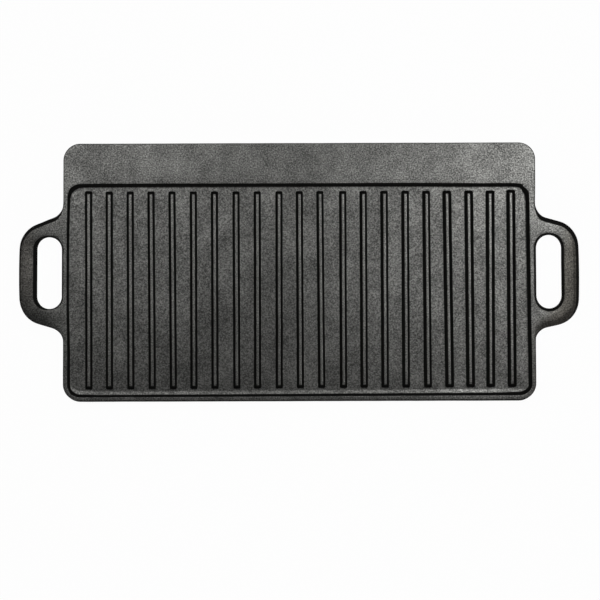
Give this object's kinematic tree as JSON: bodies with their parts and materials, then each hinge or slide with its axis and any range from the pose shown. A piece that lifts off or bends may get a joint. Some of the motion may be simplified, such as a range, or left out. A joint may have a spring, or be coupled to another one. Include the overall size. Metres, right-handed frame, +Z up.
{
  "type": "camp griddle plate",
  "caption": "Rectangular cast-iron griddle plate with parallel searing ribs in a shallow tray, a plain shelf along its back edge and a slotted loop handle at each end.",
  "frame": {"origin": "on the resting plane, under the middle of the plate, with the ribbed side up", "axes": "+X along the line of the two handles, +Y from the front rim towards the back shelf, +Z up"},
  "size_m": [0.5, 0.23, 0.015],
  "materials": {
    "seasoned_iron": "matt dark grey, pre-seasoned, with the fine pebbled skin of a sand casting"
  },
  "bodies": {
    "root": {"cooking_floor": "seasoned_iron", "rim_front": "seasoned_iron", "rim_left": "seasoned_iron", "rim_right": "seasoned_iron", "rim_back": "seasoned_iron", "shelf_riser": "seasoned_iron", "back_shelf": "seasoned_iron", "handle_left": "seasoned_iron", "handle_right": "seasoned_iron", "rib_01": "seasoned_iron", "rib_02": "seasoned_iron", "rib_03": "seasoned_iron", "rib_04": "seasoned_iron", "rib_05": "seasoned_iron", "rib_06": "seasoned_iron", "rib_07": "seasoned_iron", "rib_08": "seasoned_iron", "rib_09": "seasoned_iron", "rib_10": "seasoned_iron", "rib_11": "seasoned_iron", "rib_12": "seasoned_iron", "rib_13": "seasoned_iron", "rib_14": "seasoned_iron", "rib_15": "seasoned_iron", "rib_16": "seasoned_iron", "rib_17": "seasoned_iron", "rib_18": "seasoned_iron", "rib_19": "seasoned_iron", "rib_20": "seasoned_iron", "rib_21": "seasoned_iron"}
  },
  "joints": []
}
